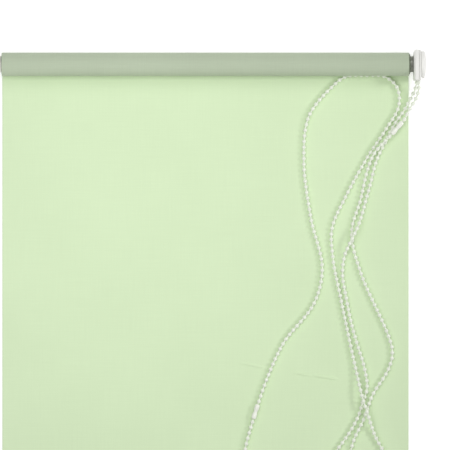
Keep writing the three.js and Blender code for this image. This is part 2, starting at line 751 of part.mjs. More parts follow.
// A moulded sleeve between two chain ends.
function connector(from, to) {
  const [start, end] = [new THREE.Vector3(...from), new THREE.Vector3(...to)];
  const along = end.clone().sub(start);
  const half = along.length() / 2 - CLEARANCE;
  const profile = [
    [0, -half],
    [CONNECTOR_END_RADIUS, -half],
    [CONNECTOR_RADIUS, CONNECTOR_TAPER - half],
    [CONNECTOR_RADIUS, half - CONNECTOR_TAPER],
    [CONNECTOR_END_RADIUS, half],
    [0, half],
  ];
  const sleeve = new THREE.LatheGeometry(profile.map(([r, y]) => new THREE.Vector2(r, y)), 12);
  const turn = new THREE.Quaternion().setFromUnitVectors(new THREE.Vector3(0, 1, 0), along.normalize());
  sleeve.applyQuaternion(turn);
  sleeve.translate(...start.add(end).divideScalar(2).toArray());
  return solid(sleeve);
}

addPiece("chain_upper", freeChain(UPPER_CHAIN, SHORT_STEP), plastic(CHAIN_WHITE));
addPiece("chain_long", freeChain(LONG_CHAIN, CHAIN_STEP), plastic(CHAIN_WHITE));
addPiece("chain_lower", freeChain(LOWER_CHAIN, CHAIN_STEP), plastic(CHAIN_WHITE));
addPiece("chain_connector_upper", connector(UPPER_CHAIN.at(-1), LONG_CHAIN[0]), plastic(CHAIN_WHITE));
addPiece("chain_connector_lower", connector(LONG_CHAIN.at(-1), LOWER_CHAIN[0]), plastic(CHAIN_WHITE));

// ---- Origin: the middle of the base of everything but the free chain ----

group.position.set(-(pinTip + capRight) / 2, -(barFront + guardRadius) / 2, 0);

export default group;
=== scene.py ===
"""A chain-operated roller blind with a light green sheet, lying on its back, partly unrolled."""

import math

import bmesh
import bpy
from mathutils import Matrix, Vector, noise


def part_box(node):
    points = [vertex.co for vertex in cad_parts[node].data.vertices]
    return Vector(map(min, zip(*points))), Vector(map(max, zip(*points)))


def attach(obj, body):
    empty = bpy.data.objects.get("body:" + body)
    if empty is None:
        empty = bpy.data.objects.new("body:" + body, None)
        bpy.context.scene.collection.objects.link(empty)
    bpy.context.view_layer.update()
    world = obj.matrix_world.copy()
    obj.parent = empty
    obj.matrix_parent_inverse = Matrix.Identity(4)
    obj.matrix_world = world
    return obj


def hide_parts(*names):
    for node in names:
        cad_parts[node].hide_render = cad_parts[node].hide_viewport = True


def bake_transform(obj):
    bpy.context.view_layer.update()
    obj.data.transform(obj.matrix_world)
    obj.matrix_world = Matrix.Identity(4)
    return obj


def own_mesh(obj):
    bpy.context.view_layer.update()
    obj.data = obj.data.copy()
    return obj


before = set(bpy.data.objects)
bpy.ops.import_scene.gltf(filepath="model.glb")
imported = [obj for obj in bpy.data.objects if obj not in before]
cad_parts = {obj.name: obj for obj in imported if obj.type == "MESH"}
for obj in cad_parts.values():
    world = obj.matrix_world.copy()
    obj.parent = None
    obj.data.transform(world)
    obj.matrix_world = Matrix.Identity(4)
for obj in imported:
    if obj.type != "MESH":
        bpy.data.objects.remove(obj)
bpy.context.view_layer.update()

MM = 0.001

# ---- Roller tube ----
# Thin steel tube, rolled from zinc-coated strip and seamed along its length. The wound sheet covers
# all of it but a few millimetres beside the clutch, where it shows dull and dark.

tube_low, tube_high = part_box("roller_tube")
axis_y = (tube_low.y + tube_high.y) / 2
axis_z = (tube_low.z + tube_high.z) / 2
tube_radius = (tube_high.z - tube_low.z) / 2
tube_wall = 0.8 * MM


def colour(code):
    """A hex sRGB colour as the linear values that a shader takes."""
    parts = [int(code[i:i + 2], 16) / 255 for i in (1, 3, 5)]
    return (*[c / 12.92 if c <= 0.04045 else ((c + 0.055) / 1.055) ** 2.4 for c in parts], 1.0)


def add_node(tree, kind, inputs=None, **settings):
    """Adds a node with its settings, and gives each input its value or the output it is linked from."""
    node = tree.nodes.new(kind)
    for name, value in settings.items():
        setattr(node, name, value)
    for key, value in (inputs or {}).items():
        if isinstance(value, bpy.types.NodeSocket):
            tree.links.new(value, node.inputs[key])
        else:
            node.inputs[key].default_value = value
    return node


def new_finish(name):
    """An empty material, with its node tree."""
    made = bpy.data.materials.new(name)
    made.use_nodes = True
    made.node_tree.nodes.clear()
    return made, made.node_tree


def end_finish(tree, **inputs):
    """Ends a material's tree in one surface shader."""
    names = {key.replace("_", " "): value for key, value in inputs.items()}
    shader = add_node(tree, "ShaderNodeBsdfPrincipled", names)
    add_node(tree, "ShaderNodeOutputMaterial", {"Surface": shader.outputs["BSDF"]})


def galvanised_steel():
    """Zinc-coated strip: a dull grey metal with faint cloudy spangle and fine lines along its rolling."""
    made, tree = new_finish("galvanised_steel")
    place = add_node(tree, "ShaderNodeTexCoord").outputs["Object"]
    spangle = add_node(tree, "ShaderNodeTexNoise", {"Vector": place, "Scale": 1 / (3 * MM), "Detail": 3.0})
    tone = add_node(tree, "ShaderNodeValToRGB", {"Fac": spangle.outputs["Fac"]})
    tone.color_ramp.elements[0].position = 0.35
    tone.color_ramp.elements[0].color = colour("#80837a")
    tone.color_ramp.elements[1].position = 0.7
    tone.color_ramp.elements[1].color = colour("#95988e")
    along = add_node(tree, "ShaderNodeMapping", {"Vector": place, "Scale": (0.05, 1, 1)})
    lines = add_node(
        tree, "ShaderNodeTexNoise", {"Vector": along.outputs["Vector"], "Scale": 1 / (0.4 * MM), "Detail": 2.0}
    )
    worn = add_node(
        tree, "ShaderNodeMapRange", {"Value": lines.outputs["Fac"], "To Min": 0.34, "To Max": 0.5}
    )
    relief = add_node(tree, "ShaderNodeBump", {"Height": lines.outputs["Fac"], "Strength": 0.15, "Distance": 0.00005})
    end_finish(
        tree,
        Base_Color=tone.outputs["Color"],
        Metallic=0.5,
        Roughness=worn.outputs["Result"],
        Normal=relief.outputs["Normal"],
    )
    return made


def place_mesh(shape, name, material, sharp):
    """Turns a finished bmesh into an object at the origin, smooth but for edges over an angle in degrees."""
    bmesh.ops.remove_doubles(shape, verts=shape.verts, dist=1e-6)
    bmesh.ops.recalc_face_normals(shape, faces=shape.faces)
    for face in shape.faces:
        face.smooth = True
    for edge in shape.edges:
        edge.smooth = len(edge.link_faces) == 2 and edge.calc_face_angle() < math.radians(sharp)
    mesh = bpy.data.meshes.new(name)
    shape.to_mesh(mesh)
    shape.free()
    mesh.materials.append(material)
    piece = bpy.data.objects.new(name, mesh)
    bpy.context.collection.objects.link(piece)
    return piece


def rounded(profile, radius):
    """A closed profile with each of its corners rounded."""
    steps = 3
    points = []
    count = len(profile)
    for i, corner in enumerate(profile):
        corner = Vector(corner)
        before = Vector(profile[i - 1]) - corner
        after = Vector(profile[(i + 1) % count]) - corner
        cut = min(radius, before.length * 0.4, after.length * 0.4)
        start = corner + before.normalized() * cut
        end = corner + after.normalized() * cut
        for k in range(steps + 1):
            t = k / steps
            points.append(start.lerp(corner, t).lerp(corner.lerp(end, t), t))
    return points


def turned(name, profile, material, edge):
    """A piece turned round the roller's axis, from a closed profile of (x, radius) in metres."""
    points = rounded(profile, edge)
    segments = 64
    shape = bmesh.new()
    rings = []
    for i in range(segments):
        angle = 2 * math.pi * i / segments
        rings.append([
            shape.verts.new((x, axis_y + r * math.cos(angle), axis_z + r * math.sin(angle))) for x, r in points
        ])
    for i in range(segments):
        this, following = rings[i], rings[(i + 1) % segments]
        for j in range(len(points)):
            k = (j + 1) % len(points)
            shape.faces.new((this[j], this[k], following[k], following[j]))
    return place_mesh(shape, name, material, sharp=35)


steel = galvanised_steel()
tube = turned(
    "tube_steel",
    [
        (tube_low.x, tube_radius - tube_wall),
        (tube_low.x, tube_radius),
        (tube_high.x, tube_radius),
        (tube_high.x, tube_radius - tube_wall),
    ],
    steel,
    edge=0.15 * MM,
)
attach(tube, "roller")
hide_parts("roller_tube")

# ---- Adhesive tape ----
# A clear strip along the tube that the sheet's upper edge sticks to. It lies under all the layers.


def clear_film():
    """Polyester film with a tacky back: pale, smooth and a little cloudy."""
    made, tree = new_finish("clear_film")
    place = add_node(tree, "ShaderNodeTexCoord").outputs["Object"]
    cloud = add_node(tree, "ShaderNodeTexNoise", {"Vector": place, "Scale": 1 / (8 * MM), "Detail": 2.0})
    haze = add_node(tree, "ShaderNodeMapRange", {"Value": cloud.outputs["Fac"], "To Min": 0.2, "To Max": 0.35})
    end_finish(tree, Base_Color=colour("#e6e7df"), Roughness=haze.outputs["Result"])
    return made


def refinish(node, material):
    """Gives a CAD node that keeps its shape its material."""
    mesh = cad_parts[node].data
    mesh.materials.clear()
    mesh.materials.append(material)


refinish("fabric_tape", clear_film())

# ---- Wound sheet ----
# The upper half of the sheet, about eleven turns of plain-woven polyester with its reverse outwards.
# The layers have crept sideways as they were wound, so the inner ones stand out at the end as a cone.

sheet_low, sheet_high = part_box("fabric_sheet")
roll_low, roll_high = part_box("fabric_roll")
roll_radius = (roll_high.z - roll_low.z) / 2
roll_bore = tube_radius + 0.3 * MM
cloth_thickness = 0.35 * MM
creep = 1.2 * MM
wander = 0.12 * MM
left_share = 0.3


def woven_polyester(name, pale, deep, cut_edge_and_painted_shade, sheen=0.15):
    """Plain-woven polyester: matt, with a fine grid of crossing threads and faint slubs along both.
    The threads are 0.3 mm apart in the cloth, and are drawn 0.9 mm apart so that they just show.
    Its edges are cut by heat, which leaves them a little darker; where the wound roll's inner turns stand out at its
    ends, the much darker edge colour is painted shade."""
    made, tree = new_finish(name)
    flat = add_node(tree, "ShaderNodeUVMap", uv_map="cloth").outputs["UV"]
    thread = 0.9 * MM
    even = {"wave_type": "BANDS", "wave_profile": "SIN"}
    # A wave texture repeats 20 / (2 pi) times in each unit of its scale.
    scale = 2 * math.pi / (20 * thread)
    warp = add_node(
        tree, "ShaderNodeTexWave", {"Vector": flat, "Scale": scale, "Distortion": 0.4, "Detail": 1.0},
        bands_direction="X", **even,
    )
    weft = add_node(
        tree, "ShaderNodeTexWave", {"Vector": flat, "Scale": scale, "Distortion": 0.4, "Detail": 1.0},
        bands_direction="Y", **even,
    )
    grid = add_node(
        tree, "ShaderNodeMath", {0: warp.outputs["Fac"], 1: weft.outputs["Fac"]}, operation="MULTIPLY"
    )
    slubs = []
    for stretch in ((1, 0.03, 1), (0.03, 1, 1)):
        drawn = add_node(tree, "ShaderNodeMapping", {"Vector": flat, "Scale": stretch})
        slubs.append(add_node(
            tree, "ShaderNodeTexNoise", {"Vector": drawn.outputs["Vector"], "Scale": 1 / (1.2 * MM), "Detail": 2.0}
        ))
    slub = add_node(
        tree, "ShaderNodeMath", {0: slubs[0].outputs["Fac"], 1: slubs[1].outputs["Fac"]}, operation="MULTIPLY"
    )
    cloudy = add_node(tree, "ShaderNodeTexNoise", {"Vector": flat, "Scale": 1 / (90 * MM), "Detail": 2.0})
    mixed = add_node(
        tree, "ShaderNodeMath", {0: slub.outputs["Value"], 1: 1.4, 2: cloudy.outputs["Fac"]}, operation="MULTIPLY_ADD"
    )
    tone = add_node(
        tree, "ShaderNodeMapRange", {"Value": mixed.outputs["Value"], "From Min": 0.45, "From Max": 1.25}
    )
    body = add_node(
        tree, "ShaderNodeMix", {"Factor": tone.outputs["Result"], "A": colour(deep), "B": colour(pale)},
        data_type="RGBA",
    )
    # The cut edges are darker: on the face a real heat-cut edge, on the wound roll's inner turns painted shade.
    rim = add_node(tree, "ShaderNodeAttribute", attribute_name="cut_edge_and_painted_shade").outputs["Fac"]
    # Sockets 6 and 7 are the mix node's two colours, which share their names with its numbers.
    rimmed = add_node(tree, "ShaderNodeMix", {0: rim, 6: body.outputs[2], 7: colour(cut_edge_and_painted_shade)}, data_type="RGBA")
    relief = add_node(
        tree, "ShaderNodeBump", {"Height": grid.outputs["Value"], "Strength": 0.15, "Distance": 0.00012}
    )
    end_finish(
        tree, Base_Color=rimmed.outputs[2], Roughness=0.92, Sheen_Weight=sheen, Sheen_Roughness=0.5,
        Normal=relief.outputs["Normal"],
    )
    return made


def woven_sheet(name, columns, rows, surface, thickness, material, shade=None):
    """A sheet of cloth as two skins joined round their edges. surface(u, v) gives a point and the way
    that its face looks, for u across and v along the cloth from 0 to 1, in metres."""
    shape = bmesh.new()
    flat = shape.loops.layers.uv.new("cloth")
    rim = shape.verts.layers.float.new("cut_edge_and_painted_shade")
    skins = []
    marks = {}
    for side in (0, 1):
        skin = []
        for v in rows:
            line = []
            for u in columns:
                point, outward, where = surface(u, v)
                vert = shape.verts.new(point - outward * thickness * side)
                vert[rim] = shade(u, v) if shade else 0.0
                marks[vert] = where
                line.append(vert)
            skin.append(line)
        skins.append(skin)
    last_row, last_column = len(rows) - 1, len(columns) - 1
    loops = []
    for skin in skins:
        for i in range(last_row):
            for j in range(last_column):
                loops.append((skin[i][j], skin[i][j + 1], skin[i + 1][j + 1], skin[i + 1][j]))
    front, back = skins
    for i in range(last_row):
        for j in (0, last_column):
            loops.append((front[i][j], front[i + 1][j], back[i + 1][j], back[i][j]))
    for j in range(last_column):
        for i in (0, last_row):
            loops.append((front[i][j], front[i][j + 1], back[i][j + 1], back[i][j]))
    for loop in loops:
        face = shape.faces.new(loop)
        for corner in face.loops:
            corner[flat].uv = marks[corner.vert]
    return place_mesh(shape, name, material, sharp=50)


def smooth_step(t):
    """An even rise from 0 to 1 that starts and ends level."""
    t = min(max(t, 0.0), 1.0)
    return t * t * (3 - 2 * t)


turns = (roll_radius - roll_bore) / cloth_thickness
wound_steps = int(turns * 40)


def wound_surface(u, v):
    """A place on the wound sheet, with v from the outermost turn, where it leaves the underside, inwards."""
    radius = roll_radius - (roll_radius - roll_bore - cloth_thickness) * v
    angle = -math.pi / 2 - 2 * math.pi * turns * v
    outward = Vector((0, math.cos(angle), math.sin(angle)))
    layer = 2 * math.pi * turns * v
    out = creep * smooth_step((v - 0.02) / 0.9) + wander * math.sin(layer * 1.3)
    width = roll_high.x - roll_low.x
    x = roll_low.x - left_share * out + (width + (1 + left_share) * out) * u
    return Vector((x, axis_y, axis_z)) + outward * radius, outward, (x, radius * layer)


# The roll's colours are the cloth's greyer reverse, darkened further with painted shade, so they are much darker than
# the face.
reverse_cloth_and_painted_shade = woven_polyester("woven_polyester_reverse_painted_shade", "#b9c6ad", "#b1bda5", "#7f8974", sheen=0.1)
# The columns lie close together at both ends, where the cut edges of the inner turns are painted darker as shade, the
# layers' ends lying in each other's shadow.
wound_columns = [0, 0.0008] + [i / 12 for i in range(1, 12)] + [0.9935, 0.9955, 1]
wound = woven_sheet(
    "wound_sheet",
    wound_columns,
    [i / wound_steps for i in range(wound_steps + 1)],
    wound_surface,
    cloth_thickness * 0.86,
    reverse_cloth_and_painted_shade,
    shade=lambda u, v: smooth_step((v - 0.05) / 0.1) * (1 if u > 0.9945 or u < 0.0005 else 0),
)
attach(wound, "roller")
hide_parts("fabric_roll")

# ---- Unrolled sheet ----
# The lower half of the same sheet, face side up. It leaves the underside of the roll, settles on the
# surface, and rises into the slot of the bottom bar. It has a few faint creases from its packing.

drop = axis_y - sheet_low.y
settling = 60 * MM
gap_under_roll = 0.3 * MM
rise = 40 * MM
easing = 40 * MM
slack = 0.5 * MM
crease_width = 0.9
bar_low, bar_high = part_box("bottom_bar")
bar_middle = (bar_low.z + bar_high.z) / 2
clutch_x = sum((corner.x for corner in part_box("chain_on_wheel")), 0.0) / 2
# Each crease's two ends, in millimetres from the wheel and the roller's axis, and its height.
creases = [
    ((-183.1, -316.7), (-164.9, -320.4), 0.7),
    ((-127.0, -326.5), (-114.1, -329.5), 1.0),
    ((-108.7, -329.5), (-88.5, -332.6), 1.1),
]


def crease_height(x, y):
    """How far a crease lifts the sheet at a place, each crease being a short soft ridge."""
    place = Vector((x - clutch_x, y - axis_y)) / MM
    lift = 0.0
    for start, end, height in creases:
        start, end = Vector(start), Vector(end)
        along = end - start
        t = min(max((place - start).dot(along) / along.length_squared, 0.0), 1.0)
        gap = (place - start - along * t).length
        lift = max(lift, height * math.exp(-((gap / crease_width) ** 2)))
    return lift * MM


def sheet_height(distance):
    """The height of the sheet's upper face at a distance in front of the roller's axis."""
    start = axis_z - roll_radius - gap_under_roll
    if distance < settling:
        return cloth_thickness + (start - cloth_thickness) * (1 - smooth_step(distance / settling))
    rising = (distance - drop + rise) / rise
    top = bar_middle + cloth_thickness / 2
    return cloth_thickness + (top - cloth_thickness) * smooth_step(rising)


def sheet_surface(u, v):
    """A place on the unrolled sheet, with its slight waves and its creases where it lies free."""
    x = sheet_low.x + (sheet_high.x - sheet_low.x) * u
    distance = drop * v
    y = axis_y - distance
    free = smooth_step((distance - settling) / easing) * smooth_step((drop - rise - distance) / easing)
    wave = 0.5 + 0.5 * noise.noise(Vector((x * 7, y * 5, 3.1)))
    z = sheet_height(distance) + free * (slack * wave + crease_height(x, y))
    return Vector((x, y, z)), Vector((0, 0, 1)), (x, y)


face_cloth = woven_polyester("woven_polyester_face", "#daeec6", "#d5e9c1", "#b9cda6")
across = [0, 0.0012] + [i / 140 for i in range(1, 140)] + [0.9988, 1]
# The rows lie closer together, every 0.7 mm, where the creases are.
crease_rows = {round((312 + 0.7 * i) * MM / drop, 5) for i in range(35)}
down = sorted({round(i / 240, 5) for i in range(241)} | crease_rows)
sheet = woven_sheet(
    "unrolled_sheet",
    across,
    down,
    sheet_surface,
    cloth_thickness,
    face_cloth,
    shade=lambda u, v: 1.0 if u in (0, 1) else 0.0,
)
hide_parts("fabric_sheet")
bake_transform(sheet)

# ---- Bottom bar ----
# Drawn aluminium section, satin anodised, that weights the sheet. A round channel along its upper edge
# holds the hem, which a plastic spline keeps from pulling out of the slot, and a cap closes each end.

bar_channel_low, bar_channel_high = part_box("fabric_hem")
spline_low, spline_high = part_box("bottom_bar_spline")


def soften(node, name, material, edge):
    """A moulded or drawn piece of the CAD shape, merged, with its sharp edges rounded over."""
    sharp = 30
    shape = bmesh.new()
    shape.from_mesh(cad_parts[node].data)
    bmesh.ops.remove_doubles(shape, verts=shape.verts, dist=1e-6)
    bmesh.ops.dissolve_limit(
        shape, angle_limit=math.radians(0.5), use_dissolve_boundaries=False, verts=shape.verts, edges=shape.edges
    )
    rims = [e for e in shape.edges if len(e.link_faces) == 2 and e.calc_face_angle() > math.radians(sharp)]
    bmesh.ops.bevel(
        shape, geom=rims, offset=edge, segments=2, profile=0.5, affect="EDGES", clamp_overlap=True
    )
    return place_mesh(shape, name, material, sharp=45)


def anodised_aluminium():
    """Drawn aluminium, satin anodised: pale and even, with fine die lines along its length."""
    made, tree = new_finish("anodised_aluminium")
    place = add_node(tree, "ShaderNodeTexCoord").outputs["Object"]
    along = add_node(tree, "ShaderNodeMapping", {"Vector": place, "Scale": (0.01, 1, 1)})
    lines = add_node(
        tree, "ShaderNodeTexNoise", {"Vector": along.outputs["Vector"], "Scale": 1 / (0.5 * MM), "Detail": 3.0}
    )
    worn = add_node(tree, "ShaderNodeMapRange", {"Value": lines.outputs["Fac"], "To Min": 0.32, "To Max": 0.48})
    relief = add_node(tree, "ShaderNodeBump", {"Height": lines.outputs["Fac"], "Strength": 0.2, "Distance": 0.00005})
    end_finish(
        tree, Base_Color=colour("#d4d6d2"), Metallic=1.0, Roughness=worn.outputs["Result"],
        Normal=relief.outputs["Normal"],
    )
    return made


def moulded_abs():
    """White ABS from a lightly spark-etched mould: satin, with a grain of 0.2 mm and faint flow clouds.
    The grain is drawn at 0.5 mm, so that it just breaks up the highlights."""
    made, tree = new_finish("moulded_abs")
    place = add_node(tree, "ShaderNodeTexCoord").outputs["Object"]
    flow = add_node(tree, "ShaderNodeTexNoise", {"Vector": place, "Scale": 1 / (9 * MM), "Detail": 2.0})
    tone = add_node(
        tree, "ShaderNodeMix", {"Factor": flow.outputs["Fac"], "A": colour("#ecece7"), "B": colour("#f3f3ef")},
        data_type="RGBA",
    )
    grain = add_node(tree, "ShaderNodeTexNoise", {"Vector": place, "Scale": 1 / (0.5 * MM), "Detail": 1.0})
    worn = add_node(tree, "ShaderNodeMapRange", {"Value": grain.outputs["Fac"], "To Min": 0.38, "To Max": 0.5})
    relief = add_node(tree, "ShaderNodeBump", {"Height": grain.outputs["Fac"], "Strength": 0.12, "Distance": 0.0001})
    end_finish(
        tree, Base_Color=tone.outputs[2], Roughness=worn.outputs["Result"], Normal=relief.outputs["Normal"]
    )
    return made


hem_radius = (bar_channel_high.z - bar_channel_low.z) / 2
hem_y = (spline_low.y + spline_high.y) / 2
stem = bar_channel_high.y - hem_y - hem_radius
hem_length = stem + 2 * math.pi * hem_radius * 0.97
hem_start = 0.12
hem_stretch = 0.98


def hem_surface(u, v):
    """A place on the hem, from the bar's slot along the stem, then once round the spline."""
    x = bar_channel_low.x + (bar_channel_high.x - bar_channel_low.x) * u
    run = hem_length * v
    if run < stem:
        outward = Vector((0, 0, 1))
        y = bar_channel_high.y - run
        return Vector((x, y, bar_middle + cloth_thickness / 2)), outward, (x, run)
    angle = hem_start + (run - stem) / hem_radius * hem_stretch
    outward = Vector((0, math.cos(angle), math.sin(angle)))
    return Vector((x, hem_y, bar_middle)) + outward * hem_radius, outward, (x, run)


abs_white = moulded_abs()
hem = woven_sheet(
    "hem", [i / 20 for i in range(21)], [i / 32 for i in range(33)], hem_surface, cloth_thickness, face_cloth
)
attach(hem, "bar")
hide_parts("fabric_hem")

bar = soften("bottom_bar", "bar_section", anodised_aluminium(), 0.25 * MM)
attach(bar, "bar")
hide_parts("bottom_bar")
refinish("bottom_bar_spline", abs_white)
for side in ("left", "right"):
    end = soften(f"bottom_bar_cap_{side}", f"bar_cap_{side}", abs_white, 0.4 * MM)
    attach(end, "bar")
    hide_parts(f"bottom_bar_cap_{side}")

# ---- Clutch works ----
# Inside the tube's end, the acetal wheel turns on the fixed core, and its finger drives the adapter
# past two wire springs that grip the core like brakes. A steel clip keeps them on the core.


def moulded_acetal():
    """Natural acetal: milky, slippery and smooth, with soft clouds from its moulding."""
    made, tree = new_finish("moulded_acetal")
    place = add_node(tree, "ShaderNodeTexCoord").outputs["Object"]
    flow = add_node(tree, "ShaderNodeTexNoise", {"Vector": place, "Scale": 1 / (4 * MM), "Detail": 2.0})
    tone = add_node(
        tree, "ShaderNodeMix", {"Factor": flow.outputs["Fac"], "A": colour("#e2e3de"), "B": colour("#eeefea")},
        data_type="RGBA",
    )
    worn = add_node(tree, "ShaderNodeMapRange", {"Value": flow.outputs["Fac"], "To Min": 0.25, "To Max": 0.38})
    end_finish(tree, Base_Color=tone.outputs[2], Roughness=worn.outputs["Result"])
    return made


def spring_wire():
    """Hard-drawn spring steel with a thin film of grease: grey, with streaks along the drawing."""
    made, tree = new_finish("spring_wire")
    place = add_node(tree, "ShaderNodeTexCoord").outputs["Object"]
    streak = add_node(tree, "ShaderNodeTexNoise", {"Vector": place, "Scale": 1 / (0.8 * MM), "Detail": 3.0})
    tone = add_node(
        tree, "ShaderNodeMix", {"Factor": streak.outputs["Fac"], "A": colour("#6f7070"), "B": colour("#9c9d9c")},
        data_type="RGBA",
    )
    worn = add_node(tree, "ShaderNodeMapRange", {"Value": streak.outputs["Fac"], "To Min": 0.25, "To Max": 0.45})
    end_finish(tree, Base_Color=tone.outputs[2], Metallic=1.0, Roughness=worn.outputs["Result"])
    return made


acetal = moulded_acetal()
wire = spring_wire()
for node in ("clutch_core", "chain_wheel", "drive_adapter"):
    refinish(node, acetal)
for node in ("brake_spring_1", "brake_spring_2", "core_retainer_clip"):
    refinish(node, wire)

# ---- Chain guard ----
# White ABS in two halves that snap together round the wheel, leaving a mouth at the front for the
# chain. The half beside the tube has a chamfered rim; a fine seam shows between the two.

for node, name in (("chain_guard", "guard_inner_half"), ("chain_guard_outer_half", "guard_outer_half")):
    shell = soften(node, name, abs_white, 0.22 * MM)
    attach(shell, "clutch")
    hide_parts(node)

# ---- End cap ----
# Domed ABS cover over the wheel's outer side. The bracket's square peg enters the socket in its middle,
# and a latch at its front edge lets the blind out of the bracket.

cap = soften("clutch_end_cap", "end_cap", abs_white, 0.3 * MM)
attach(cap, "clutch")
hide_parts("clutch_end_cap")

# ---- Idle end ----
# The tube's other end turns on a plug and bush of acetal, and a sprung steel pin stands out of the
# bush to enter the far bracket. Pressing the pin in lets the blind be lifted out.


def turned_steel():
    """Turned mild steel, bright zinc plated: smooth, with fine rings from the lathe."""
    made, tree = new_finish("turned_steel")
    place = add_node(tree, "ShaderNodeTexCoord").outputs["Object"]
    across = add_node(tree, "ShaderNodeMapping", {"Vector": place, "Scale": (1, 0.02, 0.02)})
    rings = add_node(
        tree, "ShaderNodeTexNoise", {"Vector": across.outputs["Vector"], "Scale": 1 / (0.3 * MM), "Detail": 2.0}
    )
    worn = add_node(tree, "ShaderNodeMapRange", {"Value": rings.outputs["Fac"], "To Min": 0.18, "To Max": 0.34})
    end_finish(tree, Base_Color=colour("#bcbdbb"), Metallic=1.0, Roughness=worn.outputs["Result"])
    return made


bright_steel = turned_steel()
for node, name, body, finish, slot in (
    ("idle_plug", "idle_plug_moulding", "roller", acetal, "clutch_plastic"),
    ("idle_bush", "idle_bush_moulding", "bush", acetal, "clutch_plastic"),
    ("idle_pin", "idle_pin_turned", "pin", bright_steel, "spring_steel"),
):
    piece = soften(node, name, finish, 0.2 * MM)
    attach(piece, body)
    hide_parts(node)
refinish("idle_bush_clip", wire)
refinish("idle_spring_seat", acetal)

# ---- Idle spring ----
# Compression spring of hard-drawn wire, seven open turns, between a collar on the pin and its seat in
# the bush. It shortens as the pin is pressed in.


def coil_spring_tree():
    """Round wire wound in an even coil along Z."""
    tree = bpy.data.node_groups.new("coil_spring", "GeometryNodeTree")
    face = tree.interface
    face.new_socket("Geometry", in_out="INPUT", socket_type="NodeSocketGeometry")
    for name in ("Coil Radius", "Wire Radius", "Length", "Turns"):
        face.new_socket(name, in_out="INPUT", socket_type="NodeSocketFloat")
    face.new_socket("Finish", in_out="INPUT", socket_type="NodeSocketMaterial")
    face.new_socket("Geometry", in_out="OUTPUT", socket_type="NodeSocketGeometry")
    given = add_node(tree, "NodeGroupInput").outputs
    coil = add_node(tree, "GeometryNodeCurveSpiral", {
        "Resolution": 28, "Rotations": given["Turns"], "Start Radius": given["Coil Radius"],
        "End Radius": given["Coil Radius"], "Height": given["Length"],
    })
    section = add_node(
        tree, "GeometryNodeCurvePrimitiveCircle", {"Resolution": 10, "Radius": given["Wire Radius"]}
    )
    drawn = add_node(
        tree, "GeometryNodeCurveToMesh",
        {"Curve": coil.outputs["Curve"], "Profile Curve": section.outputs["Curve"], "Fill Caps": True},
    )
    smooth = add_node(tree, "GeometryNodeSetShadeSmooth", {"Geometry": drawn.outputs["Mesh"]})
    real = add_node(tree, "GeometryNodeRealizeInstances", {"Geometry": smooth.outputs["Geometry"]})
    finished = add_node(
        tree, "GeometryNodeSetMaterial", {"Geometry": real.outputs["Geometry"], "Material": given["Finish"]}
    )
    add_node(tree, "NodeGroupOutput", {"Geometry": finished.outputs["Geometry"]})
    return tree


def grown(name, guide, tree, values):
    """Runs a node tree on a guide object, and keeps what it makes as a plain mesh of its own."""
    bpy.context.collection.objects.link(guide)
    made = guide.modifiers.new("form", "NODES")
    made.node_group = tree
    for socket in tree.interface.items_tree:
        if socket.in_out == "INPUT" and socket.name in values:
            made[socket.identifier] = values[socket.name]
    graph = bpy.context.evaluated_depsgraph_get()
    mesh = bpy.data.meshes.new_from_object(guide.evaluated_get(graph), depsgraph=graph)
    mesh.name = name
    piece = bpy.data.objects.new(name, mesh)
    bpy.context.collection.objects.link(piece)
    bpy.data.objects.remove(guide)
    return piece


spring_low, spring_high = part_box("idle_spring")
spring_wire_radius = 0.36 * MM
spring_turns = 7.0
spring_length = spring_high.x - spring_low.x - 2 * spring_wire_radius
spring = grown(
    "idle_spring_coil",
    bpy.data.objects.new("coil_guide", bpy.data.meshes.new("coil_guide")),
    coil_spring_tree(),
    {
        "Coil Radius": (spring_high.z - spring_low.z) / 2 - spring_wire_radius,
        "Wire Radius": spring_wire_radius,
        "Length": spring_length,
        "Turns": spring_turns,
        "Finish": wire,
    },
)
spring_start = Matrix.Translation((spring_low.x + spring_wire_radius, axis_y, axis_z))
spring.data.transform(spring_start @ Matrix.Rotation(math.pi / 2, 4, "Y"))
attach(spring, "bush")
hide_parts("idle_spring")
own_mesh(spring)

# ---- Chain strands ----
# Endless cord of moulded beads on a thin polyester string, laid over the sheet in long loose loops.
# It is three strands here: wheel to first clasp, first clasp to second clasp, and second clasp to wheel.

bead_diameter = 4.5 * MM
bead_pitch = 6 * MM
string_diameter = 1.7 * MM

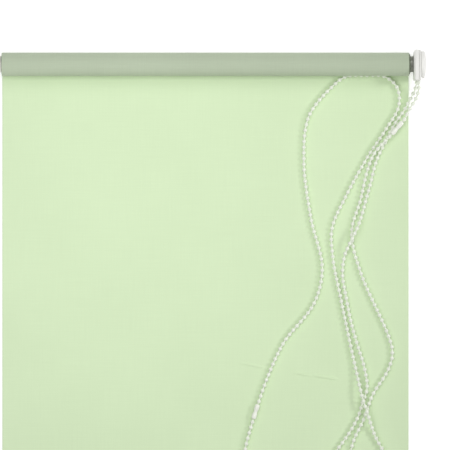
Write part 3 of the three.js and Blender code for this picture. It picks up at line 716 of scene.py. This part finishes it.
# Each strand's way in millimetres: to the right of the wheel, behind the roller's axis, and above the table.
UPPER_STRAND = [
    (0, -12.6, 22.5), (0.3, -16.5, 19.8), (1.5, -20, 16.6), (2, -24.5, 13.6),
    (1.5, -29.5, 11.2), (-0.5, -35.5, 9), (-3, -40, 7.4), (-6.5, -45, 6.4), (-9, -50, 6),
    (-11.2, -54.9, 6), (-13.3, -58.4, 6.1), (-15, -60.5, 6.2),
]
LONG_STRAND = [
    (-26.8, -74.2, 7.2), (-34.5, -82, 8), (-45.5, -95, 5.8), (-52.5, -113, 3.5), (-59.5, -143.5, 2.9),
    (-68, -171, 2.9), (-68, -189, 2.9), (-58, -224, 2.9), (-26, -301.5, 2.9), (-29.5, -321.5, 2.9),
    (-46.5, -349.5, 2.9), (-56.5, -376.5, 2.9), (-67.5, -400.5, 2.9), (-71.5, -436, 2.9), (-51.5, -471.5, 2.9),
    (-27, -454, 2.9), (-29, -423, 2.9), (-44, -393.5, 4), (-52, -370, 8.2), (-58, -351, 8.2),
    (-64, -324.5, 4), (-70.5, -295, 3), (-80, -249.5, 2.9), (-88.5, -206, 2.9), (-89.5, -173, 2.9),
    (-76, -141.5, 2.9), (-53.5, -100.5, 2.9), (-32.5, -68.5, 2.9), (-19, -44, 3.5), (-21, -24, 4.7),
    (-34, -12.6, 5.1), (-54.5, -11.2, 5.1), (-75, -12.6, 5.1), (-89, -23, 4.7), (-114, -54.5, 3.1),
    (-119.5, -101, 2.9), (-112, -162.5, 2.9), (-100, -215.5, 2.9), (-108.5, -252.5, 2.9), (-140.5, -294, 2.9),
    (-157.5, -330, 3), (-168, -359.5, 3.6),
]
LOWER_STRAND = [
    (-173, -375.5, 3.6), (-181, -405, 3), (-184, -435, 2.9), (-181.5, -469.5, 2.9), (-173.5, -496, 2.9),
    (-157.5, -507, 2.9), (-139.5, -497.5, 2.9), (-123.5, -472, 2.9), (-107.5, -441, 2.9), (-87.5, -412.5, 2.9),
    (-70.5, -388.5, 2.9), (-61.5, -371.5, 2.9), (-57, -357.5, 2.9), (-52.5, -342.5, 2.9), (-55.5, -320.5, 2.9),
    (-63, -296, 2.9), (-70, -270.5, 2.9), (-74.5, -247.5, 2.9), (-78.5, -223, 3), (-76.5, -203, 4.4),
    (-69.5, -186.5, 8.2), (-62.5, -172, 7), (-57.5, -157.5, 4), (-53.5, -142.5, 3), (-48.5, -124.5, 2.9),
    (-45, -109.5, 2.9), (-40, -95.5, 2.9), (-33.5, -82.5, 2.9), (-27.5, -70.5, 2.9), (-21.5, -60.5, 3),
    (-13.5, -49, 3.3), (-7, -37, 3.9), (-1.6, -26, 4.3), (0, -18, 4.9), (0, -10.5, 5.6),
]


def smooth_route(points, step=1.5):
    """The curve through a strand's points, as a list of places in metres."""
    knots = [Vector(p) for p in points]
    knots = [2 * knots[0] - knots[1]] + knots + [2 * knots[-1] - knots[-2]]
    line = []
    for i in range(1, len(knots) - 2):
        p0, p1, p2, p3 = knots[i - 1:i + 3]
        # Centripetal spacing keeps the curve free of loops where the points are unevenly spaced.
        t1 = math.sqrt((p1 - p0).length)
        t2 = t1 + math.sqrt((p2 - p1).length)
        t3 = t2 + math.sqrt((p3 - p2).length)
        count = max(2, round((p2 - p1).length / step))
        for k in range(count):
            t = t1 + (t2 - t1) * k / count
            a1 = p0 * ((t1 - t) / t1) + p1 * (t / t1)
            a2 = p1 * ((t2 - t) / (t2 - t1)) + p2 * ((t - t1) / (t2 - t1))
            a3 = p2 * ((t3 - t) / (t3 - t2)) + p3 * ((t - t2) / (t3 - t2))
            b1 = a1 * ((t2 - t) / t2) + a2 * (t / t2)
            b2 = a2 * ((t3 - t) / (t3 - t1)) + a3 * ((t - t1) / (t3 - t1))
            line.append(b1 * ((t2 - t) / (t2 - t1)) + b2 * ((t - t1) / (t2 - t1)))
    line.append(knots[-2])
    origin = Vector((clutch_x, axis_y, 0))
    return [origin + place * MM for place in line]


def bead_chain_tree():
    """Beads at an even pitch along a curve, on a string."""
    tree = bpy.data.node_groups.new("bead_chain", "GeometryNodeTree")
    face = tree.interface
    face.new_socket("Geometry", in_out="INPUT", socket_type="NodeSocketGeometry")
    for name in ("Bead Diameter", "Pitch", "Lead In", "String Diameter"):
        face.new_socket(name, in_out="INPUT", socket_type="NodeSocketFloat")
    face.new_socket("Finish", in_out="INPUT", socket_type="NodeSocketMaterial")
    face.new_socket("Geometry", in_out="OUTPUT", socket_type="NodeSocketGeometry")
    given = add_node(tree, "NodeGroupInput").outputs
    bead_radius = add_node(tree, "ShaderNodeMath", {0: given["Bead Diameter"], 1: 0.5}, operation="MULTIPLY")
    string_radius = add_node(tree, "ShaderNodeMath", {0: given["String Diameter"], 1: 0.5}, operation="MULTIPLY")
    length = add_node(tree, "GeometryNodeCurveLength", {"Curve": given["Geometry"]})
    last = add_node(
        tree, "ShaderNodeMath", {0: length.outputs["Length"], 1: given["Lead In"]}, operation="SUBTRACT"
    )
    trimmed = add_node(tree, "GeometryNodeTrimCurve", {"Curve": given["Geometry"]}, mode="LENGTH")
    trim_start, trim_end = [s for s in trimmed.inputs if s.name in ("Start", "End") and s.enabled][:2]
    tree.links.new(given["Lead In"], trim_start)
    tree.links.new(last.outputs["Value"], trim_end)
    spaced = add_node(
        tree, "GeometryNodeResampleCurve", {"Curve": trimmed.outputs["Curve"], "Length": given["Pitch"]}, mode="LENGTH"
    )
    bead = add_node(
        tree, "GeometryNodeMeshUVSphere", {"Segments": 10, "Rings": 6, "Radius": bead_radius.outputs["Value"]}
    )
    beads = add_node(
        tree, "GeometryNodeInstanceOnPoints", {"Points": spaced.outputs["Curve"], "Instance": bead.outputs["Mesh"]}
    )
    smooth = add_node(tree, "GeometryNodeSetShadeSmooth", {"Geometry": beads.outputs["Instances"]})
    section = add_node(
        tree, "GeometryNodeCurvePrimitiveCircle", {"Resolution": 5, "Radius": string_radius.outputs["Value"]}
    )
    knots = add_node(
        tree, "GeometryNodeResampleCurve", {"Curve": given["Geometry"], "Length": given["Pitch"]}, mode="LENGTH"
    )
    string = add_node(
        tree, "GeometryNodeCurveToMesh",
        {"Curve": knots.outputs["Curve"], "Profile Curve": section.outputs["Curve"], "Fill Caps": True},
    )
    joined = add_node(tree, "GeometryNodeJoinGeometry", {"Geometry": smooth.outputs["Geometry"]})
    tree.links.new(string.outputs["Mesh"], joined.inputs["Geometry"])
    real = add_node(tree, "GeometryNodeRealizeInstances", {"Geometry": joined.outputs["Geometry"]})
    finished = add_node(
        tree, "GeometryNodeSetMaterial", {"Geometry": real.outputs["Geometry"], "Material": given["Finish"]}
    )
    add_node(tree, "NodeGroupOutput", {"Geometry": finished.outputs["Geometry"]})
    return tree


def moulded_bead_plastic():
    """Natural polypropylene moulded round its string: milky and satin. Its slight green tint is painted light from the
    green sheet, and a faint glow of painted light keeps its shaded sides from going dark, standing for light that
    passes through it."""
    made, tree = new_finish("moulded_bead_plastic")
    place = add_node(tree, "ShaderNodeTexCoord").outputs["Object"]
    cloud = add_node(tree, "ShaderNodeTexNoise", {"Vector": place, "Scale": 1 / (5 * MM), "Detail": 2.0})
    # The beads' own white, with a slight green tint that is painted light from the sheet.
    tone = add_node(
        tree, "ShaderNodeMix",
        {"Factor": cloud.outputs["Fac"], "A": colour("#e3e8da"), "B": colour("#ecf0e5")}, data_type="RGBA",
    )
    # The emission is a painted glow that lifts the beads' shaded sides.
    end_finish(
        tree, Base_Color=tone.outputs[2], Roughness=0.42, Specular_IOR_Level=0.4, Emission_Color=colour("#e6f0dc"),
        Emission_Strength=0.08,
    )
    return made


bead_chain = bead_chain_tree()
bead_plastic = moulded_bead_plastic()


def chain_mesh(name, line, lead_in):
    """A length of bead chain along a line, as a plain mesh."""
    path = bpy.data.curves.new(name + "_line", "CURVE")
    path.dimensions = "3D"
    spline = path.splines.new("POLY")
    spline.points.add(len(line) - 1)
    for point, place in zip(spline.points, line):
        point.co = (*place, 1)
    return grown(name, bpy.data.objects.new(name + "_line", path), bead_chain, {
        "Bead Diameter": bead_diameter,
        "Pitch": bead_pitch,
        "Lead In": lead_in,
        "String Diameter": string_diameter,
        "Finish": bead_plastic,
    })


strands = {}
for name, points in (("upper", UPPER_STRAND), ("long", LONG_STRAND), ("lower", LOWER_STRAND)):
    line = smooth_route(points)
    strand = chain_mesh(f"{name}_strand", line, bead_pitch / 2)
    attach(strand, "clutch")
    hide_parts(f"chain_{name}")
    strands[name] = (strand, line)

wheel_pockets = 10
pocket_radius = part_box("chain_on_wheel")[1].y - axis_y - bead_diameter / 2
arc = [math.radians(a) for a in range(-90, 91, 3)]
on_wheel = chain_mesh(
    "wheel_strand",
    [Vector((clutch_x, axis_y + pocket_radius * math.cos(a), axis_z + pocket_radius * math.sin(a))) for a in arc],
    pocket_radius * math.pi / wheel_pockets,
)
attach(on_wheel, "wheel")
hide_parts("chain_on_wheel")

# ---- Chain clasps ----
# Two milky moulded sleeves that close the chain's ends into a loop. Each has a pocket at either end for
# the last bead of its strand, a waist between, and a slit along its side that the string snaps into.

clasp_radius = 2.8 * MM
clasp_gap = 0.3 * MM
clasp_sides = 24
slit_sides = 2
slit_depth = 0.86


def milky_polycarbonate():
    """Polycarbonate moulded with a little white in it: glossy, milky, a shade cooler than the beads, and lit by a
    faint painted glow.
    """
    made, tree = new_finish("milky_polycarbonate")
    place = add_node(tree, "ShaderNodeTexCoord").outputs["Object"]
    flow = add_node(tree, "ShaderNodeTexNoise", {"Vector": place, "Scale": 1 / (2 * MM), "Detail": 2.0})
    worn = add_node(tree, "ShaderNodeMapRange", {"Value": flow.outputs["Fac"], "To Min": 0.18, "To Max": 0.32})
    # The emission is a faint painted glow that brightens the clasps though they are no lamp.
    end_finish(
        tree, Base_Color=colour("#eceee4"), Roughness=worn.outputs["Result"], IOR=1.58,
        Emission_Color=colour("#e9efe0"), Emission_Strength=0.06,
    )
    return made


clasp_plastic = milky_polycarbonate()


def clasp(name, start, end):
    """A sleeve between two strands' ends, turned from its outline of (half-lengths, radii)."""
    along = end - start
    half = along.length / 2 - clasp_gap
    outline = [
        (-1.0, 0.55), (-0.97, 0.78), (-0.86, 0.95), (-0.6, 1.0), (-0.3, 0.96), (-0.2, 0.8), (-0.1, 0.76),
        (0.1, 0.76), (0.2, 0.8), (0.3, 0.96), (0.6, 1.0), (0.86, 0.95), (0.97, 0.78), (1.0, 0.55),
    ]
    turn = along.to_track_quat("Z", "Y")
    middle = (start + end) / 2
    shape = bmesh.new()
    rings = []
    for t, r in outline:
        ring = []
        for i in range(clasp_sides):
            angle = 2 * math.pi * i / clasp_sides
            radius = clasp_radius * r * (slit_depth if i < slit_sides else 1)
            ring.append(shape.verts.new(
                middle + turn @ Vector((radius * math.cos(angle), radius * math.sin(angle), half * t))
            ))
        rings.append(ring)
    for this, following in zip(rings, rings[1:]):
        for i in range(clasp_sides):
            k = (i + 1) % clasp_sides
            shape.faces.new((this[i], this[k], following[k], following[i]))
    shape.faces.new(rings[0])
    shape.faces.new(rings[-1])
    return place_mesh(shape, name, clasp_plastic, sharp=50)


clasps = {}
for name, before, after in (("upper", "upper", "long"), ("lower", "long", "lower")):
    piece = clasp(f"{name}_clasp", strands[before][1][-1], strands[after][1][0])
    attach(piece, "clutch")
    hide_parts(f"chain_connector_{name}")
    clasps[name] = piece

for name, far_end, on_it in (
    ("upper", "connector", [clasps["upper"]]),
    ("long", "connector", [clasps["lower"]]),
    ("lower", "object", []),
):
    strand, line = strands[name]

# ---- Floor, light and camera ----
# A white table under a low soft lamp overhead and a second at the right, with weaker ones in front and
# behind. The one behind casts the roll's wide soft shadow, and the room's own light fills all of them.


def matt_table():
    """White laminate, matt and even."""
    made, tree = new_finish("matt_table")
    end_finish(
        tree, Base_Color=(0.92, 0.92, 0.92, 1), Roughness=0.9, Specular_IOR_Level=0.1,
        Emission_Color=(1, 1, 1, 1), Emission_Strength=0.33,
    )
    return made


bpy.ops.mesh.primitive_plane_add(size=12, location=(0, 0, -0.0005))
table = bpy.context.object
table.name = "table"
table.data.materials.append(matt_table())

world = bpy.data.worlds.new("room")
bpy.context.scene.world = world
world.use_nodes = True
world.node_tree.nodes["Background"].inputs["Color"].default_value = (1, 1, 1, 1)
world.node_tree.nodes["Background"].inputs["Strength"].default_value = 0.3


def aim(thing, target):
    """Turns a lamp or camera to look at a place."""
    thing.rotation_euler = (Vector(target) - thing.location).to_track_quat("-Z", "Y").to_euler()


def soft_lamp(name, place, target, size, energy):
    """A round lamp that looks at a place, with its diameter and its power."""
    data = bpy.data.lights.new(name, "AREA")
    data.shape = "DISK"
    data.size = size
    data.energy = energy
    made = bpy.data.objects.new(name, data)
    bpy.context.collection.objects.link(made)
    made.location = place
    aim(made, target)


soft_lamp("overhead_lamp", (-0.14, 0.25, 0.6), (-0.14, 0.25, 0), 0.7, 1.98)
soft_lamp("side_lamp", (3.3, 0.7, 2.2), (0.05, 0.15, 0), 0.7, 42)
soft_lamp("front_lamp", (-0.1, -3.0, 1.8), (0, 0.37, 0), 1.2, 18)
soft_lamp("back_lamp", (0.5, 1.14, 1.12), (0.1, 0.3, 0), 0.7, 3.9)

camera_data = bpy.data.cameras.new("camera")
camera_data.sensor_width = 36
camera_height = 6.0
field_width = 0.4766
view_left_of_clutch = 202.9 * MM
view_front_of_roller = 169.9 * MM
camera_data.lens = camera_data.sensor_width * camera_height / field_width
camera = bpy.data.objects.new("camera", camera_data)
bpy.context.collection.objects.link(camera)
camera.location = (clutch_x - view_left_of_clutch, axis_y - view_front_of_roller, camera_height)
bpy.context.scene.camera = camera
bpy.context.scene.view_settings.view_transform = "Standard"
